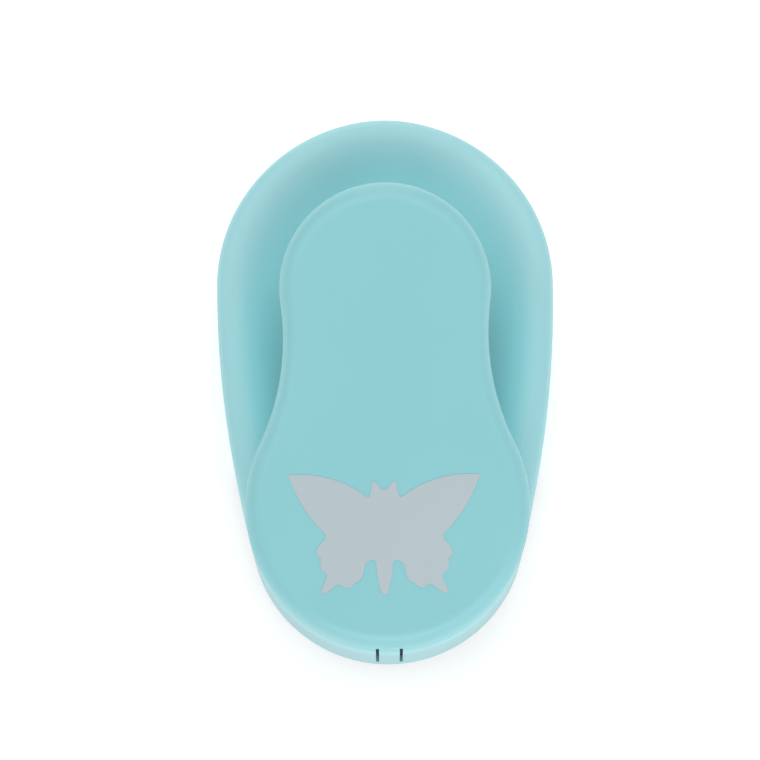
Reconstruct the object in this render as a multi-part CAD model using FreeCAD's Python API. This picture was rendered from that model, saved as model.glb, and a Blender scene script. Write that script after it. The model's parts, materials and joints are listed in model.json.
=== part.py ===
"""Lever craft punch: presses a butterfly out of a sheet of paper.

The frame has +Z up and +Y towards the rear, where the thumb presses; the paper goes in at the front, -Y.
The origin is the bottom centre of the whole punch, which stands on z = 0. Units are millimetres.

How it works: the lever turns on a pin just inside the front wall. A rib under the lever pushes a pad, a
carrier and the cutter down through the guide plate, through the paper in the mouth, and into the die plate.
Four springs under the carrier push it all back up.

The lever's pieces are drawn flat, as they lie when the lever is fully pressed, and the cutter's pieces as
low as they then are. raised() and lifted() carry them to the rest pose, which is what the files hold.
"""

import FreeCAD
import Part
import math
import os

Vector = FreeCAD.Vector

# ---------------------------------------------------------------- driving dimensions

# plan of the base, all tangent arcs: rear cap, a shoulder on each side down to the widest place, a long flank
# on each side, and front cap
LENGTH = 107.9
WIDTH = 66.5
REAR_RADIUS = 30.0
FRONT_RADIUS = 27.0
WIDEST_Y = 20.0
RIM_Z = 20.0
RIM_ROUND = 2.6
FOOT_ROUND = 0.6
WALL = 1.8
SKIRT_WALL = 1.3
INNER_WALL = 1.6
ROOT = 0.3

# the bowl round the lever falls in half a cosine wave from the rim to its own floor, and leans to the rear;
# FLOOR_Z is the floor of the deeper well under the lever
BOWL_EDGE = 2.6
BOWL_REACH = 16.6
BOWL_LEAN = 2.0
BOWL_STEPS = 9
BOWL_FLOOR_Z = 15.0
FLOOR_Z = 10.0
SHELL = 2.0

# ribs under the bowl: half thickness, gap over the bottom cover, places and reach
RIB_HALF = 0.6
RIB_GAP = 1.2
RIB_X = 6.5
RIB_Y_RANGE = (-6.0, 44.0)
CROSS_RIB_Y = (4.0, 26.0)
CROSS_RIB_HALF = 24.0

# mouth and die set, from the table up
DIE_TOP = 3.0
MOUTH_TOP = 4.5
GUIDE_TOP = 8.5
THROAT_Y = -13.95
PLATE_END_Y = -6.95
DIE_INSET = 1.9
DIE_ROUND = 0.35
MOUTH_CORNER = 1.0
MOUTH_LIP_ROUND = 0.5
LIP_THICK = 0.8
LIP_HEIGHT = 0.8
LIP_END_Y = -36.45
FENCE_HALF = 16.5
FENCE_THICK = 1.4
BOSS_TOP_Z = 13.6
FIT = 0.1

# cutter
CUTTER_Y = -31.45
CUT_GAP = 0.05
CUTTER_REST_Z = 4.8
CARRIER_DOWN_Z = 11.8
CARRIER_THICK = 2.5
PAD_THICK = 2.3
CARRIER_INSET = 4.7
CARRIER_FRONT_Y = -44.45
CARRIER_REAR_Y = -14.45
CARRIER_CORNER = 1.0
CARRIER_PLAY = 0.5
PAD_HALF = (10.0, 4.5)
PAD_CORNER = 1.5
PLATE_EDGE = 0.4
CUTTER_SCREW_X = 12.0
CUTTER_SCREW_Y = CUTTER_Y + 3.5
PAD_SCREW_X = 6.5

# return springs
SPRING_RADIUS = 2.15
SPRING_WIRE = 0.35
SPRING_TURNS = 5.5
SPRING_SEAT_Z = 6.5
SPRING_POCKET = 2.7
SPRING_SLACK = 0.03
SPRING_SPOTS = {
    "front_left": (-16.0, -37.65),
    "front_right": (16.0, -37.65),
    "rear_left": (-9.0, -17.45),
    "rear_right": (9.0, -17.45),
}

# hinge
PIN_Y = -48.75
PIN_Z = 16.5
PIN_RADIUS = 1.5
PIN_HALF = 8.3
PIN_PLAY = 0.05
REST_TILT = 14.0
PIN_CHAMFER = 0.3
EAR_X = (2.6, 5.0)
EAR_RADIUS = 2.8
SADDLE_X = (5.4, 8.2)
SADDLE_Z = (12.5, 19.2)
SADDLE_REACH = 2.3
WINDOW_HALF = 9.0
WINDOW_REACH = 2.0

# snap tongue in the front wall, between two slits
TONGUE_HALF = 2.0
SLIT_WIDTH = 0.6
SLIT_REACH = 2.4
SLIT_BOTTOM_Z = 7.6
HOOK_THICK = 1.8
HOOK_REACH = 1.0
HOOK_SLOPE = 35.0

# lever, drawn flat: rear circle, two hollow waist arcs and front circle, all tangent
LEVER_REAR_RADIUS = 20.3
LEVER_FRONT_RADIUS = 27.3
LEVER_WAIST_RADIUS = 47.0
LEVER_CENTRES = 41.8
LEVER_FRONT_Y = -25.01
COVER_BOTTOM_Z = 21.2
COVER_TOP_Z = 27.2
COVER_ROUND = 3.6
COVER_WALL = 1.8
COVER_EDGE = 0.4
CROWN_RADIUS = 420.0
CROWN_HALF = 60.0
FRAME_INSET = 1.9
FRAME_WALL = 1.5
FRAME_DEEP_Z = 11.0
FRAME_SHALLOW_Z = 17.0
FRAME_TAPER_Y = -9.45
WEB_THICK = 1.5
WELL_GAP = 0.8
SADDLE_ROOM = (8.8, 4.0, 19.8)
LEVER_RIB_HALF = 0.7
LEVER_RIB_LOW_Z = 19.5
LEVER_RIB_X = 8.0
LEVER_RIB_Y = (-12.0, 2.0, 16.0, 28.0)
NOSE_HALF = 9.0
NOSE_RADIUS = 2.5
NOSE_GAP = 0.05
NOSE_RIB_HALF = 1.2

# print on the lever: how far it lies from the cutter's place, and its turn in degrees
DECAL_THICK = 0.1
MARK_SHIFT = (-0.7, 1.3)
MARK_TURN = -0.4

# screws: head radius, head height, shank radius; the cross slot is in shares of the head's radius and height
STACK_SCREW = (2.2, 1.4, 1.1)
COVER_SCREW = (2.1, 1.1, 1.0)
SMALL_SCREW = (1.5, 0.8, 0.75)
HEAD_ROUND = 0.35
CROSS_ARM = 0.62
CROSS_HALF = 0.14
CROSS_DEPTH = 0.55
STACK_SCREW_LENGTH = 12.6
COVER_SCREW_LENGTH = 8.0
CUTTER_SCREW_LENGTH = 6.5
PAD_SCREW_LENGTH = 4.2
STACK_HEAD_Z = 0.2
COVER_HEAD_Z = 0.4
PAD_HEAD_SINK = 0.2
HOLE_PLAY = 0.2
SMALL_PLAY = 0.1
STACK_BOSS = 2.5
COVER_BOSS = 2.6
STACK_THREAD_Z = 13.0
COVER_THREAD_Z = 8.6
CUTTER_THREAD = 5.0
STACK_SCREW_SPOTS = {"left": (-14.0, -10.45), "middle": (0.0, -10.45), "right": (14.0, -10.45)}
COVER_SCREW_SPOTS = {"left": (-12.0, 15.0), "right": (12.0, 15.0), "rear": (0.0, 36.0)}
DOWEL_SPOTS = {"left": (-22.5, -10.45), "right": (22.5, -10.45)}
DOWEL_RADIUS = 1.5
DOWEL_CHAMFER = 0.25
DOWEL_Z = (0.3, GUIDE_TOP - 0.2)
COVER_Z = (0.3, 2.3)
BOTTOM_EDGE = 0.4

# the right half of the butterfly, from the notch in its head round to its tail: straight runs have an end
# point, curved ones a middle and an end
BUTTERFLY_START = (0.0, 8.5)
BUTTERFLY_HALF = [
    [(0.5, 8.65), (0.9, 9.05)],
    [(1.35, 9.75)],
    [(1.85, 10.1), (2.3, 9.7)],
    [(2.8, 7.45)],
    [(3.0, 7.15), (3.4, 7.2)],
    [(10.2, 10.6), (17.6, 11.4)],
    [(18.25, 11.1), (18.0, 10.5)],
    [(15.35, 5.1), (11.45, 0.3)],
    [(11.2, -0.4), (11.5, -1.15)],
    [(12.5, -2.2), (12.95, -3.2)],
    [(12.75, -4.1), (12.1, -4.6)],
    [(12.25, -5.8), (11.8, -6.9)],
    [(11.15, -7.5), (11.1, -8.4)],
    [(12.0, -10.4)],
    [(11.9, -11.1), (11.2, -11.15)],
    [(9.5, -9.85)],
    [(8.75, -9.5), (8.0, -9.8)],
    [(7.2, -10.2), (6.4, -9.95)],
    [(5.6, -9.25), (4.7, -8.75)],
    [(4.15, -7.8), (3.85, -6.3)],
    [(3.25, -5.25), (2.4, -4.95)],
    [(1.8, -5.05), (1.6, -5.7)],
    [(1.35, -8.1), (0.75, -10.6)],
    [(0.4, -11.3), (0.0, -11.45)],
]

# ---------------------------------------------------------------- places worked out from them

REAR_Y = LENGTH / 2 - REAR_RADIUS
FRONT_Y = -LENGTH / 2 + FRONT_RADIUS


def tangent_arc(cap_radius, cap_y):
    """Radius and sweep of the side arc from the widest place to an end cap, tangent to both."""
    half, along = WIDTH / 2, abs(WIDEST_Y - cap_y)
    radius = (half**2 + along**2 - cap_radius**2) / (2 * (half - cap_radius))
    return radius, math.asin(along / (radius - cap_radius))


SHOULDER_RADIUS, SHOULDER_SWEEP = tangent_arc(REAR_RADIUS, REAR_Y)
FLANK_RADIUS, FLANK_SWEEP = tangent_arc(FRONT_RADIUS, FRONT_Y)

LEVER_REAR_Y = LEVER_FRONT_Y + LEVER_CENTRES
FRAME_TOP_Z = COVER_TOP_Z - COVER_WALL - FIT
WEB_Z = FRAME_TOP_Z - WEB_THICK
RIB_ROOT_Z = FRAME_TOP_Z - WEB_THICK / 2
LEVER_RIB_Y_RANGE = (PIN_Y + 1.0, LEVER_REAR_Y + 12.0)
REAR_HOLLOW_Y = PLATE_END_Y + INNER_WALL
RIB_TOP_Z = FLOOR_Z - SHELL / 2
PRESS_ARM = CUTTER_Y - PIN_Y
CARRIER_DOWN_TOP = CARRIER_DOWN_Z + CARRIER_THICK
PAD_DOWN_TOP = CARRIER_DOWN_TOP + PAD_THICK
NOSE_DOWN_Z = PAD_DOWN_TOP + NOSE_RADIUS + NOSE_GAP
TILT = math.radians(REST_TILT)
STROKE = PRESS_ARM * math.sin(TILT) - (NOSE_DOWN_Z - PIN_Z) * (1 - math.cos(TILT))

# FAR is beyond everything, PAST is how far a cutting tool runs past a face, SAME is a rounding error
FAR = 200.0
PAST = 1.0
SAME = 1e-4

# ---------------------------------------------------------------- helpers


def slab(wire, low, high):
    """A wire drawn at z = 0, filled and raised from low to high."""
    face = Part.Face(wire)
    face.translate(Vector(0, 0, low))
    return face.extrude(Vector(0, 0, high - low))


def block(x, y, z):
    """A box from three (low, high) pairs."""
    return Part.makeBox(x[1] - x[0], y[1] - y[0], z[1] - z[0], Vector(x[0], y[0], z[0]))


def behind(y):
    """Everything with a larger Y."""
    return block((-FAR, FAR), (y, FAR), (-FAR, FAR))


def between(front, rear):
    """Everything from the front to the rear value of Y."""
    return block((-FAR, FAR), (front, rear), (-FAR, FAR))


def post(x, y, radius, low, high):
    """An upright cylinder."""
    return Part.makeCylinder(radius, high - low, Vector(x, y, low))


def cross_bar(y, z, radius, x_low, x_high):
    """A cylinder lying along X."""
    return Part.makeCylinder(radius, x_high - x_low, Vector(x_low, y, z), Vector(1, 0, 0))


def mirrored(shape):
    """The shape's twin on the other side of the YZ plane."""
    return shape.mirror(Vector(0, 0, 0), Vector(1, 0, 0))


def joined(first, *others):
    """One solid from several that touch or overlap."""
    return first.fuse(list(others)).removeSplitter()


def without(shape, *cutters):
    """The shape with all the cutters taken away."""
    return shape.cut(list(cutters))


def arc(start, middle, end):
    """The edge of the circle through three (x, y) points."""
    return Part.Arc(Vector(*start, 0), Vector(*middle, 0), Vector(*end, 0)).toShape()


def around(centre, radius, angle):
    """The point on a circle at an angle from +X, in radians."""
    return (centre[0] + radius * math.cos(angle), centre[1] + radius * math.sin(angle))


def ring_edges(shape, z):
    """The edges of a shape that lie wholly at one height."""
    return [e for e in shape.Edges if max(abs(e.BoundBox.ZMin - z), abs(e.BoundBox.ZMax - z)) < SAME]


def upright_edges(shape):
    """The edges of a plate that run up its sides."""
    return [e for e in shape.Edges if e.BoundBox.ZLength > PAST]


def raised(shape):
    """A lever piece carried from fully pressed to rest."""
    up = shape.copy()
    up.rotate(Vector(0, PIN_Y, PIN_Z), Vector(1, 0, 0), REST_TILT)
    return up


def lifted(shape):
    """A cutter piece carried from fully pressed to rest."""
    up = shape.copy()
    up.translate(Vector(0, 0, STROKE))
    return up


# ---------------------------------------------------------------- outlines


def egg(inset=0.0):
    """The base's outline, moved inwards."""
    edges = []
    joints = []
    for side in (1, -1):
        for radius, sweep in ((SHOULDER_RADIUS, SHOULDER_SWEEP), (FLANK_RADIUS, -FLANK_SWEEP)):
            centre = (WIDTH / 2 - radius, WIDEST_Y)
            points = [around(centre, radius - inset, sweep * share) for share in (0, 0.5, 1)]
            points = [(side * x, y) for x, y in points]
            edges.append(arc(*points))
            joints.append(points[2])
    right_rear, right_front, left_rear, left_front = joints
    edges.append(arc(right_rear, (0, REAR_Y + REAR_RADIUS - inset), left_rear))
    edges.append(arc(left_front, (0, FRONT_Y - FRONT_RADIUS + inset), right_front))
    return Part.Wire(Part.__sortEdges__(edges))


def lever_outline(inset=0.0):
    """The lever's outline, moved inwards: a bowling pin with its head to the rear."""
    to_rear = LEVER_REAR_RADIUS + LEVER_WAIST_RADIUS
    to_front = LEVER_FRONT_RADIUS + LEVER_WAIST_RADIUS
    along = (to_rear**2 + LEVER_CENTRES**2 - to_front**2) / (2 * LEVER_CENTRES)
    waist = (math.sqrt(to_rear**2 - along**2), LEVER_REAR_Y - along)
    rear, front = (0, LEVER_REAR_Y), (0, LEVER_FRONT_Y)
    rear_angle = math.atan2(waist[1] - rear[1], waist[0])
    front_angle = math.atan2(waist[1] - front[1], waist[0])
    r, f, w = LEVER_REAR_RADIUS - inset, LEVER_FRONT_RADIUS - inset, LEVER_WAIST_RADIUS + inset
    head = around(rear, r, rear_angle)
    hip = around(front, f, front_angle)
    hollow = around(waist, w, math.pi + (rear_angle + front_angle) / 2)
    flip = [(-p[0], p[1]) for p in (head, hollow, hip)]
    return Part.Wire(
        [
            arc(head, (0, rear[1] + r), flip[0]),
            arc(*flip),
            arc(flip[2], (0, front[1] - f), hip),
            arc(hip, hollow, head),
        ]
    )


def butterfly(inset=0.0):
    """The butterfly's outline at the cutter's place, moved inwards."""
    edges = []
    for side in (1, -1):
        here = BUTTERFLY_START
        for step in BUTTERFLY_HALF:
            points = [here] + step
            placed = [(side * x, y + CUTTER_Y) for x, y in points]
            if len(placed) == 3:
                edges.append(arc(*placed))
            else:
                edges.append(Part.makeLine(Vector(*placed[0], 0), Vector(*placed[1], 0)))
            here = step[-1]
    wire = Part.Wire(Part.__sortEdges__(edges))
    return wire.makeOffset2D(-inset) if inset else wire


# ---------------------------------------------------------------- fixed pieces: the base


def bowl():
    """The solid that the bowl is cut with, up to the rim."""
    sections = []
    for step in range(BOWL_STEPS, -1, -1):
        share = step / BOWL_STEPS
        wire = egg(BOWL_EDGE + share * BOWL_REACH)
        fall = (RIM_Z - BOWL_FLOOR_Z) * (1 - math.cos(math.pi * share)) / 2
        wire.translate(Vector(0, share * BOWL_LEAN, RIM_Z - fall))
        sections.append(wire)
    return Part.makeLoft(sections, True, False)


def lever_well():
    """The room that the wide end of the lever sinks into."""
    front = slab(egg(SKIRT_WALL), FLOOR_Z, FAR).common(between(-FAR, FRONT_Y))
    flanks = slab(lever_outline(FRAME_INSET - WELL_GAP), FLOOR_Z, FAR)
    inside = slab(egg(SKIRT_WALL), FLOOR_Z, FAR)
    return front.fuse(flanks.common(inside))


def saddle():
    """One of the two blocks that hold the hinge pin down; the pin goes in from below."""
    inside = slab(egg(SKIRT_WALL - ROOT), FLOOR_Z, RIM_Z)
    solid = block(SADDLE_X, (-LENGTH / 2, PIN_Y + SADDLE_REACH), SADDLE_Z).common(inside)
    slot = block(SADDLE_X, (PIN_Y - PIN_RADIUS, PIN_Y + PIN_RADIUS), (SADDLE_Z[0] - PAST, PIN_Z))
    return without(solid, slot, cross_bar(PIN_Y, PIN_Z, PIN_RADIUS, -PIN_HALF, PIN_HALF))


def tongue_hook():
    """The catch on the snap tongue, under the middle of the hinge pin."""
    top = PIN_Z - PIN_RADIUS
    half = TONGUE_HALF - FIT
    root = -LENGTH / 2 + SKIRT_WALL - ROOT
    hook = block((-half, half), (root, PIN_Y + HOOK_REACH), (top - HOOK_THICK, top))
    lead_in = block((-FAR, FAR), (PIN_Y, FAR), (-FAR, top - HOOK_THICK / 2))
    lead_in.rotate(Vector(0, PIN_Y, top - HOOK_THICK / 2), Vector(1, 0, 0), HOOK_SLOPE)
    return without(hook, lead_in)


def rear_ribs():
    """Stiffening ribs under the bowl, clear of the bottom cover."""
    tall = (COVER_Z[1] + RIB_GAP, RIB_TOP_Z)
    wide = (-CROSS_RIB_HALF, CROSS_RIB_HALF)
    along = [block((x - RIB_HALF, x + RIB_HALF), RIB_Y_RANGE, tall) for x in (-RIB_X, RIB_X)]
    across = [block(wide, (y - RIB_HALF, y + RIB_HALF), tall) for y in CROSS_RIB_Y]
    return [rib.common(slab(egg(WALL), 0, RIM_Z)) for rib in along + across]


def mouth():
    """The slot that the paper goes into, and the room for the die plate under it."""
    slot = block((-FAR, FAR), (-FAR, THROAT_Y), (-PAST, MOUTH_TOP))
    corner = [e for e in ring_edges(slot, MOUTH_TOP) if abs(e.BoundBox.YMin - THROAT_Y) < SAME]
    return slot.makeFillet(MOUTH_CORNER, corner)


def rear_hollow(dish):
    """The room under the bowl, as far forward as the wall behind the plates."""
    under_dish = dish.copy()
    under_dish.translate(Vector(0, 0, -SHELL))
    under_well = slab(lever_outline(FRAME_INSET - WELL_GAP - SHELL), FLOOR_Z - SHELL, RIM_Z)
    hollow = slab(egg(WALL), -PAST, RIM_Z - SHELL).cut(under_dish).cut(under_well)
    return hollow.common(behind(REAR_HOLLOW_Y))


def lip():
    """The step inside the front skirt that the guide plate's edge sits on."""
    ring = slab(egg(SKIRT_WALL - ROOT), MOUTH_TOP, MOUTH_TOP + LIP_HEIGHT)
    ring = ring.cut(slab(egg(SKIRT_WALL + LIP_THICK), 0, FAR))
    return ring.common(between(-FAR, LIP_END_Y))


def fence():
    """The low wall between the mechanism and the bowl."""
    return block(
        (-FENCE_HALF, FENCE_HALF),
        (PLATE_END_Y, PLATE_END_Y + FENCE_THICK),
        (FLOOR_Z - SHELL / 4, BOSS_TOP_Z),
    )


def base_housing():
    """The one-piece shell: outer wall, bowl, mechanism well, front skirt over the mouth."""
    body = slab(egg(), 0, RIM_Z)
    body = body.makeFillet(RIM_ROUND, ring_edges(body, RIM_Z))
    dish = bowl()
    body = without(body, dish)
    body = body.makeFillet(FOOT_ROUND, ring_edges(body, 0))
    body = without(body, mouth())
    mouth_edge = [e for e in ring_edges(body, MOUTH_TOP) if e.BoundBox.YMin < LIP_END_Y]
    body = body.makeFillet(MOUTH_LIP_ROUND, mouth_edge)

    guide_seat = slab(egg(SKIRT_WALL), MOUTH_TOP - FIT, GUIDE_TOP).common(between(-FAR, PLATE_END_Y + FIT))
    plate_seat = slab(egg(WALL), -PAST, MOUTH_TOP).common(between(THROAT_Y - PAST, PLATE_END_Y + FIT))
    opening = slab(lever_outline(CARRIER_INSET - CARRIER_PLAY), GUIDE_TOP - PAST, FLOOR_Z + PAST)
    opening = opening.common(between(CARRIER_FRONT_Y - PAST, CARRIER_REAR_Y))
    window_y = (PIN_Y - WINDOW_REACH, CARRIER_FRONT_Y)
    pin_window = block((-WINDOW_HALF, WINDOW_HALF), window_y, (GUIDE_TOP - PAST, FLOOR_Z + PAST))
    slits = [
        block((x, x + SLIT_WIDTH), (-FAR, -LENGTH / 2 + SLIT_REACH), (SLIT_BOTTOM_Z, FAR))
        for x in (TONGUE_HALF, -TONGUE_HALF - SLIT_WIDTH)
    ]
    body = without(body, lever_well(), rear_hollow(dish), guide_seat, plate_seat, opening, pin_window, *slits)

    stacks, covers = STACK_SCREW_SPOTS.values(), COVER_SCREW_SPOTS.values()
    bosses = [post(x, y, STACK_BOSS, GUIDE_TOP, BOSS_TOP_Z) for x, y in stacks]
    bosses += [post(x, y, COVER_BOSS, COVER_Z[1], RIB_TOP_Z) for x, y in covers]
    body = joined(body, saddle(), mirrored(saddle()), tongue_hook(), lip(), fence(), *bosses, *rear_ribs())
    threads = [post(x, y, STACK_SCREW[2], GUIDE_TOP - PAST, STACK_THREAD_Z) for x, y in stacks]
    threads += [post(x, y, COVER_SCREW[2], COVER_Z[1] - PAST, COVER_THREAD_Z) for x, y in covers]
    return without(body, *threads)


def bottom_cover():
    """The flat plate that closes the hollow under the bowl."""
    plate = slab(egg(WALL + FIT), *COVER_Z).common(behind(REAR_HOLLOW_Y + FIT))
    plate = plate.makeFillet(BOTTOM_EDGE, ring_edges(plate, COVER_Z[0]))
    head, height, shank = COVER_SCREW
    seat = COVER_HEAD_Z + height
    holes = [post(x, y, head + HOLE_PLAY, -PAST, seat) for x, y in COVER_SCREW_SPOTS.values()]
    holes += [post(x, y, shank + HOLE_PLAY, -PAST, FAR) for x, y in COVER_SCREW_SPOTS.values()]
    return without(plate, *holes)


def hinge_pin():
    """The steel pin that the lever turns on."""
    pin = cross_bar(PIN_Y, PIN_Z, PIN_RADIUS, -PIN_HALF, PIN_HALF)
    return pin.makeChamfer(PIN_CHAMFER, pin.Edges)


# ---------------------------------------------------------------- fixed pieces: the die set


def stack_holes():
    """The holes that the stack screws' shanks and the dowels pass through in every plate."""
    holes = [post(x, y, STACK_SCREW[2] + HOLE_PLAY, -PAST, FAR) for x, y in STACK_SCREW_SPOTS.values()]
    return holes + [post(x, y, DOWEL_RADIUS, -PAST, FAR) for x, y in DOWEL_SPOTS.values()]


def die_plate():
    """The lower cutting plate, which is also the front foot."""
    front = slab(egg(DIE_INSET), 0, DIE_TOP).common(between(-FAR, PLATE_END_Y))
    front = front.makeFillet(DIE_ROUND, ring_edges(front, 0) + ring_edges(front, DIE_TOP))
    head, height, shank = STACK_SCREW
    seat = STACK_HEAD_Z + height
    holes = [post(x, y, head + HOLE_PLAY, -PAST, seat) for x, y in STACK_SCREW_SPOTS.values()]
    return without(front, slab(butterfly(), -PAST, FAR), *holes, *stack_holes())


def throat_spacer():
    """The strip that holds the two plates apart and stops the paper."""
    strip = slab(egg(DIE_INSET), DIE_TOP, MOUTH_TOP).common(between(THROAT_Y, PLATE_END_Y))
    return without(strip, *stack_holes())


def guide_plate():
    """The upper plate: guides the cutter and strips the paper off it."""
    plate = slab(egg(SKIRT_WALL + FIT), MOUTH_TOP, GUIDE_TOP).common(between(-FAR, PLATE_END_Y))
    rebate = slab(egg(), MOUTH_TOP, MOUTH_TOP + LIP_HEIGHT + FIT)
    rebate = rebate.cut(slab(egg(SKIRT_WALL + LIP_THICK + FIT), 0, FAR))
    rebate = rebate.common(between(-FAR, LIP_END_Y + FIT))
    tail = slab(egg(), MOUTH_TOP, GUIDE_TOP).cut(slab(egg(DIE_INSET), 0, FAR)).common(behind(THROAT_Y - FIT))
    pockets = [post(x, y, SPRING_POCKET, SPRING_SEAT_Z, FAR) for x, y in SPRING_SPOTS.values()]
    return without(plate, slab(butterfly(), 0, FAR), rebate, tail, *pockets, *stack_holes())


def return_spring(x, y):
    """An open coil spring from its pocket in the guide plate up to the carrier."""
    top = CARRIER_DOWN_Z + STROKE
    height = top - SPRING_SEAT_Z - 2 * (SPRING_WIRE + SPRING_SLACK)
    helix = Part.makeHelix(height / SPRING_TURNS, height, SPRING_RADIUS)
    start = helix.Edges[0].valueAt(helix.Edges[0].FirstParameter)
    along = helix.Edges[0].tangentAt(helix.Edges[0].FirstParameter)
    section = Part.Wire(Part.makeCircle(SPRING_WIRE, start, along))
    coil = Part.Wire(helix.Edges).makePipeShell([section], True, True)
    coil.translate(Vector(x, y, SPRING_SEAT_Z + SPRING_WIRE + SPRING_SLACK))
    return coil


# ---------------------------------------------------------------- moving pieces: the cutter


def pair(x, y, radius, low, high=FAR):
    """Two upright cylinders, left and right of the middle."""
    return [post(side * x, y, radius, low, high) for side in (-1, 1)]


def cutter():
    """The butterfly-shaped punch."""
    body = slab(butterfly(CUT_GAP), CUTTER_REST_Z - STROKE, CARRIER_DOWN_Z)
    return without(body, *pair(CUTTER_SCREW_X, CUTTER_SCREW_Y, SMALL_SCREW[2], CARRIER_DOWN_Z - CUTTER_THREAD))


def carrier():
    """The plate that the cutter hangs from and the springs push on."""
    plate = slab(lever_outline(CARRIER_INSET), CARRIER_DOWN_Z, CARRIER_DOWN_TOP)
    plate = plate.common(between(CARRIER_FRONT_Y, CARRIER_REAR_Y))
    plate = plate.makeFillet(CARRIER_CORNER, upright_edges(plate))
    plate = plate.makeFillet(PLATE_EDGE, ring_edges(plate, CARRIER_DOWN_TOP))
    head, height, shank = SMALL_SCREW
    holes = pair(CUTTER_SCREW_X, CUTTER_SCREW_Y, head + SMALL_PLAY, CARRIER_DOWN_TOP - height)
    holes += pair(CUTTER_SCREW_X, CUTTER_SCREW_Y, shank + SMALL_PLAY, 0)
    holes += pair(PAD_SCREW_X, CUTTER_Y, shank, 0)
    return without(plate, *holes)


def presser_pad():
    """The slippery pad that the lever's rib pushes on."""
    half_x, half_y = PAD_HALF
    pad = block((-half_x, half_x), (CUTTER_Y - half_y, CUTTER_Y + half_y), (CARRIER_DOWN_TOP, PAD_DOWN_TOP))
    pad = pad.makeFillet(PAD_CORNER, upright_edges(pad))
    pad = pad.makeFillet(PLATE_EDGE, ring_edges(pad, PAD_DOWN_TOP))
    head, height, shank = SMALL_SCREW
    holes = pair(PAD_SCREW_X, CUTTER_Y, head + SMALL_PLAY, PAD_DOWN_TOP - PAD_HEAD_SINK - height)
    holes += pair(PAD_SCREW_X, CUTTER_Y, shank + SMALL_PLAY, 0)
    return without(pad, *holes)


# ---------------------------------------------------------------- moving pieces: the lever


def crown(z):
    """Everything under a gently arched roof whose ridge, along the middle of the lever, is at z."""
    half = CROWN_HALF
    eave = z - CROWN_RADIUS + math.sqrt(CROWN_RADIUS**2 - half**2)
    low = z - CROWN_HALF
    corners = [Vector(half, 0, eave), Vector(half, 0, low), Vector(-half, 0, low), Vector(-half, 0, eave)]
    roof = Part.Arc(corners[3], Vector(0, 0, z), corners[0]).toShape()
    profile = Part.Wire([roof] + [Part.makeLine(a, b) for a, b in zip(corners, corners[1:])])
    solid = Part.Face(profile).extrude(Vector(0, 2 * FAR, 0))
    solid.translate(Vector(0, -FAR, 0))
    return solid


def lever_cover():
    """The smooth cap that the thumb presses."""
    cap = slab(lever_outline(), COVER_BOTTOM_Z, COVER_TOP_Z + PAST).common(crown(COVER_TOP_Z))
    rim = [e for e in cap.Edges if e.BoundBox.ZMin > COVER_BOTTOM_Z + PAST]
    cap = cap.makeFillet(COVER_ROUND, rim)
    cap = cap.makeFillet(COVER_EDGE, ring_edges(cap, COVER_BOTTOM_Z))
    hollow = slab(lever_outline(COVER_WALL), COVER_BOTTOM_Z - PAST, FRAME_TOP_Z + FIT)
    hollow = hollow.common(crown(COVER_TOP_Z - COVER_WALL))
    return without(cap, hollow)


def lever_frame():
    """The ribbed frame inside the cover, with the hinge ears and the presser rib."""
    roof = crown(FRAME_TOP_Z)
    outer = slab(lever_outline(FRAME_INSET), FRAME_DEEP_Z, FRAME_TOP_Z).common(roof)
    inner = slab(lever_outline(FRAME_INSET + FRAME_WALL), FRAME_DEEP_Z - PAST, WEB_Z)
    inner = inner.common(crown(WEB_Z))
    skirt = without(outer, inner)

    run = LEVER_REAR_Y + LEVER_REAR_RADIUS - FRAME_TAPER_Y
    slope = math.degrees(math.atan2(FRAME_SHALLOW_Z - FRAME_DEEP_Z, run))
    under = block((-FAR, FAR), (FRAME_TAPER_Y, FAR), (-FAR, FRAME_DEEP_Z))
    under.rotate(Vector(0, FRAME_TAPER_Y, FRAME_DEEP_Z), Vector(1, 0, 0), slope)
    room_x, room_y, room_z = SADDLE_ROOM
    saddle_room = block((-room_x, room_x), (-FAR, PIN_Y + room_y), (0, room_z))

    half, tall = LEVER_RIB_HALF, (LEVER_RIB_LOW_Z, RIB_ROOT_Z)
    nose_rib = (CUTTER_Y - NOSE_RIB_HALF, CUTTER_Y + NOSE_RIB_HALF)
    ribs = [block((-NOSE_HALF, NOSE_HALF), nose_rib, (NOSE_DOWN_Z, RIB_ROOT_Z))]
    ribs += [block((x - half, x + half), LEVER_RIB_Y_RANGE, tall) for x in (-LEVER_RIB_X, LEVER_RIB_X)]
    ribs += [block((-FAR, FAR), (y - half, y + half), tall) for y in LEVER_RIB_Y]
    ribs = [rib.common(inner) for rib in ribs]
    nose = cross_bar(CUTTER_Y, NOSE_DOWN_Z, NOSE_RADIUS, -NOSE_HALF, NOSE_HALF)

    ear = cross_bar(PIN_Y, PIN_Z, EAR_RADIUS, *EAR_X)
    stem = block(EAR_X, (PIN_Y - EAR_RADIUS, PIN_Y + EAR_RADIUS), (PIN_Z, RIB_ROOT_Z))
    stem = stem.common(slab(lever_outline(FRAME_INSET), 0, FRAME_TOP_Z))
    frame = without(skirt, under, saddle_room)
    frame = joined(frame, nose, *ribs, ear, stem, mirrored(ear), mirrored(stem))
    return without(frame, cross_bar(PIN_Y, PIN_Z, PIN_RADIUS + PIN_PLAY, -EAR_X[1] - PAST, EAR_X[1] + PAST))


def butterfly_mark():
    """The thin printed butterfly on the cover, above the cutter."""
    print_layer = without(crown(COVER_TOP_Z + DECAL_THICK), crown(COVER_TOP_Z))
    mark = slab(butterfly(), COVER_TOP_Z - PAST, COVER_TOP_Z + PAST)
    mark.rotate(Vector(0, CUTTER_Y, 0), Vector(0, 0, 1), MARK_TURN)
    mark.translate(Vector(*MARK_SHIFT, 0))
    return mark.common(print_layer)


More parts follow.
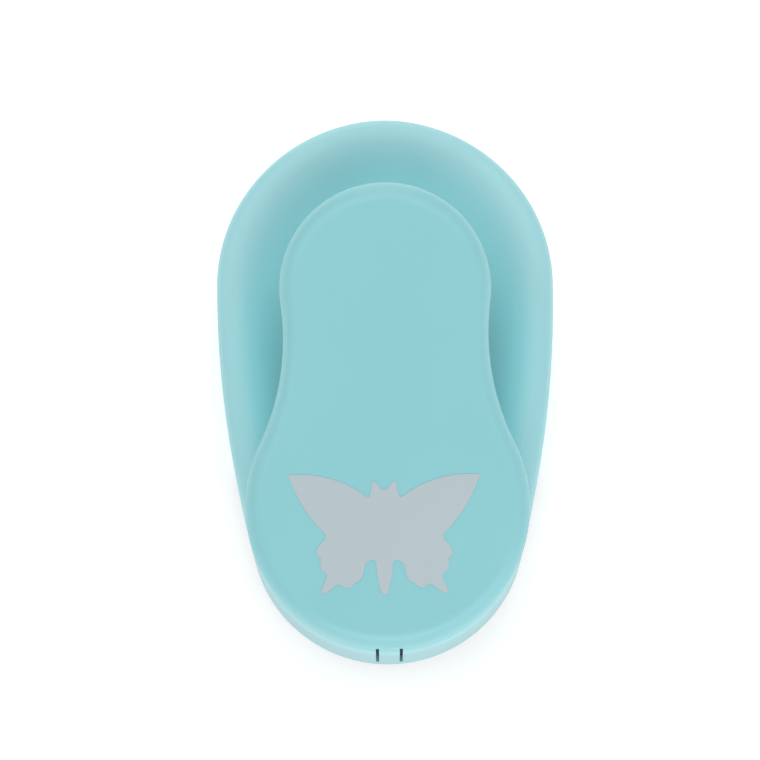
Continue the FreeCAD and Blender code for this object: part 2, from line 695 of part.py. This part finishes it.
# ---------------------------------------------------------------- fasteners


def screw(x, y, z, up, size, length):
    """A cross-head screw whose head's flat is at z; up is 1 if its shank points up and -1 if down."""
    head, height, shank = size
    low_head = post(x, y, head, z, z + height)
    body = low_head.makeFillet(height * HEAD_ROUND, ring_edges(low_head, z))
    body = body.fuse(post(x, y, shank, z + height / 2, z + length)).removeSplitter()
    arm, half, depth = head * CROSS_ARM, head * CROSS_HALF, z + height * CROSS_DEPTH
    slots = [
        block((x - arm, x + arm), (y - half, y + half), (z - PAST, depth)),
        block((x - half, x + half), (y - arm, y + arm), (z - PAST, depth)),
    ]
    body = without(body, *slots)
    if up < 0:
        body = body.mirror(Vector(x, y, z), Vector(0, 0, 1))
    return body


def dowel(x, y):
    """A dowel that lines up the plates."""
    pin = post(x, y, DOWEL_RADIUS, *DOWEL_Z)
    return pin.makeChamfer(DOWEL_CHAMFER, pin.Edges)


# ---------------------------------------------------------------- the whole punch


def all_parts():
    """Every piece at rest, by name."""
    parts = {
        "base_housing": base_housing(),
        "bottom_cover": bottom_cover(),
        "hinge_pin": hinge_pin(),
        "die_plate": die_plate(),
        "throat_spacer": throat_spacer(),
        "guide_plate": guide_plate(),
        "cutter": lifted(cutter()),
        "carrier": lifted(carrier()),
        "presser_pad": lifted(presser_pad()),
        "lever_cover": raised(lever_cover()),
        "lever_frame": raised(lever_frame()),
        "butterfly_mark": raised(butterfly_mark()),
    }
    for place, (x, y) in SPRING_SPOTS.items():
        parts["return_spring_" + place] = return_spring(x, y)
    for place, (x, y) in STACK_SCREW_SPOTS.items():
        parts["stack_screw_" + place] = screw(x, y, STACK_HEAD_Z, 1, STACK_SCREW, STACK_SCREW_LENGTH)
    for place, (x, y) in COVER_SCREW_SPOTS.items():
        parts["cover_screw_" + place] = screw(x, y, COVER_HEAD_Z, 1, COVER_SCREW, COVER_SCREW_LENGTH)
    for place, (x, y) in DOWEL_SPOTS.items():
        parts["dowel_" + place] = dowel(x, y)
    for side, sign in (("left", -1), ("right", 1)):
        x, y, z = sign * CUTTER_SCREW_X, CUTTER_SCREW_Y, CARRIER_DOWN_TOP
        parts["cutter_screw_" + side] = lifted(screw(x, y, z, -1, SMALL_SCREW, CUTTER_SCREW_LENGTH))
        x, y, z = sign * PAD_SCREW_X, CUTTER_Y, PAD_DOWN_TOP - PAD_HEAD_SINK
        parts["pad_screw_" + side] = lifted(screw(x, y, z, -1, SMALL_SCREW, PAD_SCREW_LENGTH))
    return parts


def main():
    os.makedirs("parts", exist_ok=True)
    for name, shape in all_parts().items():
        solids = shape.Solids
        volume = sum(s.Volume for s in solids)
        print(f"{name:28s} solids {len(solids)} valid {shape.isValid()} volume {volume:9.2f}")
        shape.exportStep(f"parts/{name}.step")
    print(f"stroke {STROKE:.4f} mm, ratio {STROKE / 1000 / TILT:.6f} m/rad")


main()
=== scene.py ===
import json
import math

import bpy
from mathutils import Matrix, Vector


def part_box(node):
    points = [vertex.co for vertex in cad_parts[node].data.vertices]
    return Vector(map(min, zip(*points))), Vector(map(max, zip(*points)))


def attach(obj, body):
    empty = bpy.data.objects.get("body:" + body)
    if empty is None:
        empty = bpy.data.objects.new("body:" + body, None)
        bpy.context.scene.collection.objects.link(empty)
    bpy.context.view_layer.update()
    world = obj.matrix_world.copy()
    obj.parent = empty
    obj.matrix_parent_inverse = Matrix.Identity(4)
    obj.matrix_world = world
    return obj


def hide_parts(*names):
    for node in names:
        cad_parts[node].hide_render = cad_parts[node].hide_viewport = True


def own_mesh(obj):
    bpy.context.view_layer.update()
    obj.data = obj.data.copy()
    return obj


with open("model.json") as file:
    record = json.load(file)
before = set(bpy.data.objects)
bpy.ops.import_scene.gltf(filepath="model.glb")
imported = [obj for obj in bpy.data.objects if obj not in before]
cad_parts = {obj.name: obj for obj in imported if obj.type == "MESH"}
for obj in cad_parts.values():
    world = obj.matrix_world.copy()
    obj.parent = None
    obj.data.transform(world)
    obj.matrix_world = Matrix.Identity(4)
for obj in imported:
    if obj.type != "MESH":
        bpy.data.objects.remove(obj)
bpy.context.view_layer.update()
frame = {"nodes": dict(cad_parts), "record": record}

# Sizes and places are in millimetres unless a name or a comment says otherwise.
MM = 0.001

# ---------------------------------------------------------------- node helpers

# most of a noise texture's values lie between these
NOISE_LOW = 0.3
NOISE_HIGH = 0.7


def new_material(name):
    """An empty node material and its shader."""
    material = bpy.data.materials.new(name)
    material.use_nodes = True
    tree = material.node_tree
    tree.nodes.clear()
    output = tree.nodes.new("ShaderNodeOutputMaterial")
    shader = tree.nodes.new("ShaderNodeBsdfPrincipled")
    tree.links.new(shader.outputs[0], output.inputs["Surface"])
    return material, tree, shader


def place(tree):
    """The point on the object, in metres."""
    return tree.nodes.new("ShaderNodeTexCoord").outputs["Object"]


def noise(tree, where, size, detail, stretch=None):
    """Noise whose blobs are about size across."""
    node = tree.nodes.new("ShaderNodeTexNoise")
    node.inputs["Scale"].default_value = 1.0 / (size * MM)
    node.inputs["Detail"].default_value = detail
    if stretch:
        mapping = tree.nodes.new("ShaderNodeMapping")
        mapping.inputs["Scale"].default_value = stretch
        tree.links.new(where, mapping.inputs["Vector"])
        where = mapping.outputs["Vector"]
    tree.links.new(where, node.inputs["Vector"])
    return node.outputs["Fac"]


def spread(tree, value, low, high, start=NOISE_LOW, end=NOISE_HIGH):
    """A value from start to end carried over to low to high."""
    node = tree.nodes.new("ShaderNodeMapRange")
    node.inputs["From Min"].default_value = start
    node.inputs["From Max"].default_value = end
    node.inputs["To Min"].default_value = low
    node.inputs["To Max"].default_value = high
    tree.links.new(value, node.inputs["Value"])
    return node.outputs["Result"]


def times(tree, one, other):
    """One value times another."""
    node = tree.nodes.new("ShaderNodeMath")
    node.operation = "MULTIPLY"
    tree.links.new(one, node.inputs[0])
    tree.links.new(other, node.inputs[1])
    return node.outputs["Value"]


def tint(tree, value, dark, light):
    """A colour between two, chosen by a value."""
    node = tree.nodes.new("ShaderNodeMix")
    node.data_type = "RGBA"
    node.inputs["A"].default_value = (*dark, 1)
    node.inputs["B"].default_value = (*light, 1)
    tree.links.new(value, node.inputs["Factor"])
    return node.outputs["Result"]


def shifted(tree, value, colour, factor):
    """A colour multiplied channel by channel, as far as a value from 0 to 1 says."""
    node = tree.nodes.new("ShaderNodeMix")
    node.data_type = "RGBA"
    node.blend_type = "MULTIPLY"
    node.inputs["B"].default_value = (*factor, 1)
    tree.links.new(value, node.inputs["Factor"])
    tree.links.new(colour, node.inputs["A"])
    return node.outputs["Result"]


def mottled(tree, value, colour, factors):
    """A colour between a darker and a lighter shade of itself."""
    dark, light = [tuple(min(1.0, channel * factor) for channel in colour) for factor in factors]
    return tint(tree, spread(tree, value, 0, 1), dark, light)


def bumps(tree, shader, layers):
    """Stacks bump layers, each a value and its depth."""
    normal = None
    for value, depth in layers:
        node = tree.nodes.new("ShaderNodeBump")
        node.inputs["Strength"].default_value = 1.0
        node.inputs["Distance"].default_value = depth * MM
        tree.links.new(value, node.inputs["Height"])
        if normal:
            tree.links.new(normal, node.inputs["Normal"])
        normal = node.outputs["Normal"]
    tree.links.new(normal, shader.inputs["Normal"])


# ---------------------------------------------------------------- materials

# moulded plastic
AQUA = (0.222, 0.551, 0.588)
SHELL_AQUA = (0.305, 0.632, 0.672)
PRINT_GREY = (0.412, 0.490, 0.530)
NYLON_WHITE = (0.80, 0.80, 0.75)
GLOSS = 0.85
PLASTIC_IOR = 1.5
MOTTLE_SIZE, MOTTLE_DETAIL = 26, 4
MOTTLE_SHADES = (0.985, 1.015)
SMUDGE_SIZE, SMUDGE_DETAIL = 9, 6
SMUDGE_SMOOTHER, SMUDGE_ROUGHER = 0.015, 0.02
GRAIN_SIZE, GRAIN_DETAIL = 0.22, 2
FLOW_SIZE, FLOW_DETAIL, FLOW_DEPTH = 14, 2, 0.03

# metal
CLOUD_SIZE, CLOUD_DETAIL = 7, 5
CLOUD_SHADES = (0.9, 1.06)
MARK_SIZE, MARK_DETAIL = 0.25, 3
MARK_SMOOTHER, MARK_ROUGHER = 0.08, 0.1

# painted light and shade in the base's colour: painted shade in the dish, painted light on the low
# outer wall; the reaches are from the dish's middle, with Y squeezed
DISH_MIDDLE_Y = 8.0
DISH_SQUEEZE = 0.75
DISH_REACH = 25.5
WALL_REACH = 26.0
RIM_REACH = 31.0
WALL_LOW_Z = 14.5
WALL_HIGH_Z = 18.0
# painted shade: the shaded dish's colour is pushed bluer and more saturated, standing in for its
# coloured shade
PAINTED_DISH_SHADE = (0.95, 1.15, 1.15)
# painted light: the low outer wall's colour is made greyer and darker, standing in for how the lamps
# and floor light it
PAINTED_WALL_LIGHT = (0.93, 0.84, 0.84)


def paint_dish_shade_and_wall_light(tree, where, colour):
    """The base's plastic with painted shade and light: a bluer, more saturated colour painted into the
    shaded dish, and a greyer, darker one painted on the low outer wall for how the lamps and floor
    light it.
    """
    flat = tree.nodes.new("ShaderNodeMapping")
    flat.inputs["Location"].default_value = (0, -DISH_MIDDLE_Y * DISH_SQUEEZE * MM, 0)
    flat.inputs["Scale"].default_value = (1, DISH_SQUEEZE, 0)
    tree.links.new(where, flat.inputs["Vector"])
    reach = tree.nodes.new("ShaderNodeVectorMath")
    reach.operation = "LENGTH"
    tree.links.new(flat.outputs["Vector"], reach.inputs[0])
    apart = tree.nodes.new("ShaderNodeSeparateXYZ")
    tree.links.new(where, apart.inputs["Vector"])
    outside = spread(tree, reach.outputs["Value"], 0, 1, WALL_REACH * MM, RIM_REACH * MM)
    inside = spread(tree, reach.outputs["Value"], 1, 0, DISH_REACH * MM, RIM_REACH * MM)
    low = spread(tree, apart.outputs["Z"], 1, 0, WALL_LOW_Z * MM, WALL_HIGH_Z * MM)
    # painted light on the low outer wall
    painted_wall = shifted(tree, times(tree, low, outside), colour, PAINTED_WALL_LIGHT)
    # painted shade in the dish
    return shifted(tree, inside, painted_wall, PAINTED_DISH_SHADE)


def plastic(name, colour, rough, grain_depth, painted_shading=False):
    """Satin moulded plastic: faint mottling, fine grain, and handling marks in its gloss."""
    material, tree, shader = new_material(name)
    where = place(tree)
    paint = mottled(tree, noise(tree, where, MOTTLE_SIZE, MOTTLE_DETAIL), colour, MOTTLE_SHADES)
    # the base gets painted shade in its dish and painted light on its outer wall
    if painted_shading:
        paint = paint_dish_shade_and_wall_light(tree, where, paint)
    tree.links.new(paint, shader.inputs["Base Color"])
    smudge = noise(tree, where, SMUDGE_SIZE, SMUDGE_DETAIL)
    gloss_marks = spread(tree, smudge, rough - SMUDGE_SMOOTHER, rough + SMUDGE_ROUGHER)
    tree.links.new(gloss_marks, shader.inputs["Roughness"])
    grain = noise(tree, where, GRAIN_SIZE, GRAIN_DETAIL)
    flow = noise(tree, where, FLOW_SIZE, FLOW_DETAIL)
    bumps(tree, shader, [(flow, FLOW_DEPTH), (grain, grain_depth)])
    shader.inputs["IOR"].default_value = PLASTIC_IOR
    shader.inputs["Specular IOR Level"].default_value = GLOSS
    return material


def metal(name, colour, rough, mark_depth, stretch):
    """Ground or plated metal with fine marks along one direction."""
    material, tree, shader = new_material(name)
    where = place(tree)
    paint = mottled(tree, noise(tree, where, CLOUD_SIZE, CLOUD_DETAIL), colour, CLOUD_SHADES)
    tree.links.new(paint, shader.inputs["Base Color"])
    marks = noise(tree, where, MARK_SIZE, MARK_DETAIL, stretch)
    gloss_marks = spread(tree, marks, rough - MARK_SMOOTHER, rough + MARK_ROUGHER)
    tree.links.new(gloss_marks, shader.inputs["Roughness"])
    bumps(tree, shader, [(marks, mark_depth)])
    shader.inputs["Metallic"].default_value = 1.0
    return material


# plastic: name, colour, roughness, depth of the grain
# metal: name, colour, roughness, depth of the marks, how close they lie along X, Y and Z (below 1 draws
# them out)
looks = {
    "shell_plastic": plastic("shell_plastic_look", SHELL_AQUA, 0.44, 0.006, painted_shading=True),
    "lever_plastic": plastic("lever_plastic_look", AQUA, 0.46, 0.005),
    "print_grey": plastic("print_grey_look", PRINT_GREY, 0.55, 0.012),
    "pad_nylon": plastic("pad_nylon_look", NYLON_WHITE, 0.45, 0.01),
    "die_metal": metal("die_metal_look", (0.56, 0.56, 0.55), 0.42, 0.010, (1, 0.05, 1)),
    "cutter_steel": metal("cutter_steel_look", (0.60, 0.60, 0.60), 0.30, 0.006, (1, 1, 0.05)),
    "carrier_metal": metal("carrier_metal_look", (0.58, 0.58, 0.57), 0.36, 0.006, (0.05, 1, 1)),
    "pin_steel": metal("pin_steel_look", (0.66, 0.66, 0.66), 0.20, 0.003, (0.1, 1, 1)),
    "fastener_steel": metal("fastener_steel_look", (0.64, 0.64, 0.62), 0.28, 0.004, (1, 1, 1)),
    "spring_steel": metal("spring_steel_look", (0.50, 0.50, 0.50), 0.28, 0.004, (1, 1, 0.3)),
}

slots = {part["node"]: part["material_slot"] for part in frame["record"]["subparts"]}
for node, piece in frame["nodes"].items():
    for slot in piece.material_slots:
        slot.material = looks[slots[node]]

# ---------------------------------------------------------------- return springs

WIRE_RADIUS = 0.35
ACTIVE_TURNS = 3.5
END_TURNS = 1.0
ALL_TURNS = ACTIVE_TURNS + 2 * END_TURNS
STEPS_PER_TURN = 40
WIRE_SIDES = 14
# how far past the end coils' middle the wire is left when its ends are ground flat
GROUND_TO = 0.8 * WIRE_RADIUS


def coil_height(turns, low, high):
    """Height of the wire's middle after some turns: closed end coils, even pitch between them."""
    closed = END_TURNS * 2 * WIRE_RADIUS
    rise = high - low - 2 * closed
    if turns < END_TURNS:
        return low + closed * turns / END_TURNS
    if turns > END_TURNS + ACTIVE_TURNS:
        return high - closed * (ALL_TURNS - turns) / END_TURNS
    return low + closed + rise * (turns - END_TURNS) / ACTIVE_TURNS


def wire_ring(turns, middle, radius, low, high):
    """The corners round the wire after some turns, from the coil's low seat to its high one."""
    angle = 2 * math.pi * turns
    first, last = low + WIRE_RADIUS, high - WIRE_RADIUS
    height = coil_height(turns, first, last)
    ring = []
    for side in range(WIRE_SIDES):
        around = 2 * math.pi * side / WIRE_SIDES
        reach = radius + WIRE_RADIUS * math.cos(around)
        z = min(max(height + WIRE_RADIUS * math.sin(around), first - GROUND_TO), last + GROUND_TO)
        ring.append((middle[0] + reach * math.cos(angle), middle[1] + reach * math.sin(angle), z))
    return ring


def spring(name, middle, radius, low, high):
    """A compression spring with closed ends ground flat."""
    steps = round(ALL_TURNS * STEPS_PER_TURN)
    corners, faces = [], []
    for step in range(steps + 1):
        corners += wire_ring(ALL_TURNS * step / steps, middle, radius, low, high)
    for step in range(steps):
        here, there = step * WIRE_SIDES, (step + 1) * WIRE_SIDES
        for side in range(WIRE_SIDES):
            after = (side + 1) % WIRE_SIDES
            faces.append((here + side, there + side, there + after, here + after))
    faces.append(tuple(range(WIRE_SIDES)))
    faces.append(tuple(reversed(range(steps * WIRE_SIDES, (steps + 1) * WIRE_SIDES))))
    mesh = bpy.data.meshes.new(name)
    mesh.from_pydata([tuple(c * MM for c in corner) for corner in corners], [], faces)
    mesh.shade_smooth()
    mesh.materials.append(looks["spring_steel"])
    coil = bpy.data.objects.new(name, mesh)
    bpy.context.scene.collection.objects.link(coil)
    return coil


for node in [name for name in frame["nodes"] if name.startswith("return_spring")]:
    low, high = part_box(node)
    middle = (low + high) / 2
    radius = (high.x - low.x) / 2 / MM - WIRE_RADIUS
    coil = spring(node + "_coil", middle / MM, radius, low.z / MM, high.z / MM)
    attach(coil, "base")
    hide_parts(node)
    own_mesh(coil)

# ---------------------------------------------------------------- stage, light and camera

# the floor's half width is in metres
FLOOR_HALF = 3.0
FLOOR_DROP = 0.05
FLOOR_WHITE = 0.93
FLOOR_ROUGH = 0.9
FLOOR_GLOW = 0.26

# softboxes: place and sizes in metres, power in watts
ROOM_STRENGTH = 0.55
AIM_LIGHTS_AT = (0, 0, 0.02)
SOFTBOXES = {
    "softbox_top": ((0, 0.45, 1.1), 0.7, 0.7, 2.8),
    "softbox_front": ((0, -0.95, 0.5), 0.8, 0.22, 3.0),
    "softbox_front_right": ((0.7, -0.7, 0.45), 0.4, 0.4, 1.4),
    "softbox_back": ((0, 0.95, 0.4), 0.8, 0.40, 1.8),
    "softbox_right": ((0.7, 0.1, 0.9), 0.8, 0.8, 1.0),
    "softbox_left": ((-0.7, 0.1, 0.9), 0.8, 0.8, 1.8),
}

# camera: angles in degrees, distance and clip in metres, lens and sensor in millimetres
CAMERA_ELEVATION = 76
CAMERA_ROLL = -0.67
CAMERA_DISTANCE = 0.700
CAMERA_AIM = (-1.2, 2.35, 10.0)
CAMERA_LENS = 166.8
CAMERA_SENSOR = 36
CAMERA_CLIP = 0.01


def stage():
    """A pale floor that runs well past the view."""
    mesh = bpy.data.meshes.new("floor")
    corners = [(x * FLOOR_HALF, y * FLOOR_HALF, 0) for x, y in ((-1, -1), (1, -1), (1, 1), (-1, 1))]
    mesh.from_pydata(corners, [], [(0, 1, 2, 3)])
    floor = bpy.data.objects.new("floor", mesh)
    bpy.context.scene.collection.objects.link(floor)
    floor.location.z = -FLOOR_DROP * MM
    material, tree, shader = new_material("floor_look")
    shader.inputs["Base Color"].default_value = (FLOOR_WHITE, FLOOR_WHITE, FLOOR_WHITE, 1)
    shader.inputs["Roughness"].default_value = FLOOR_ROUGH
    shader.inputs["Emission Color"].default_value = (1, 1, 1, 1)
    shader.inputs["Emission Strength"].default_value = FLOOR_GLOW
    mesh.materials.append(material)


def softbox(name, stands_at, wide, tall, power):
    """A rectangular area light aimed at the punch; its wide side lies level."""
    light = bpy.data.lights.new(name, "AREA")
    light.shape = "RECTANGLE"
    light.size = wide
    light.size_y = tall
    light.energy = power
    lamp = bpy.data.objects.new(name, light)
    bpy.context.scene.collection.objects.link(lamp)
    lamp.location = stands_at
    aim = Vector(AIM_LIGHTS_AT) - Vector(stands_at)
    lamp.rotation_euler = aim.to_track_quat("-Z", "Y").to_euler()
    lamp.visible_camera = False


def lighting():
    """A soft white room with softboxes above, in front, behind and at both sides."""
    world = bpy.data.worlds.new("soft_room")
    world.use_nodes = True
    background = world.node_tree.nodes["Background"]
    background.inputs["Color"].default_value = (1, 1, 1, 1)
    background.inputs["Strength"].default_value = ROOM_STRENGTH
    bpy.context.scene.world = world
    for name, setting in SOFTBOXES.items():
        softbox(name, *setting)


def camera():
    """Looking down on the punch from its mouth end."""
    elevation = math.radians(CAMERA_ELEVATION)
    aim = Vector(CAMERA_AIM) * MM
    back = Vector((0, -math.cos(elevation), math.sin(elevation)))
    lens = bpy.data.cameras.new("camera")
    lens.lens = CAMERA_LENS
    lens.sensor_width = CAMERA_SENSOR
    lens.clip_start = CAMERA_CLIP
    eye = bpy.data.objects.new("camera", lens)
    bpy.context.scene.collection.objects.link(eye)
    turn = back.to_track_quat("Z", "Y").to_matrix().to_4x4()
    roll = Matrix.Rotation(math.radians(CAMERA_ROLL), 4, "Z")
    eye.matrix_world = Matrix.Translation(aim + back * CAMERA_DISTANCE) @ turn @ roll
    bpy.context.scene.camera = eye


stage()
lighting()
camera()
bpy.context.scene.view_settings.view_transform = "Standard"
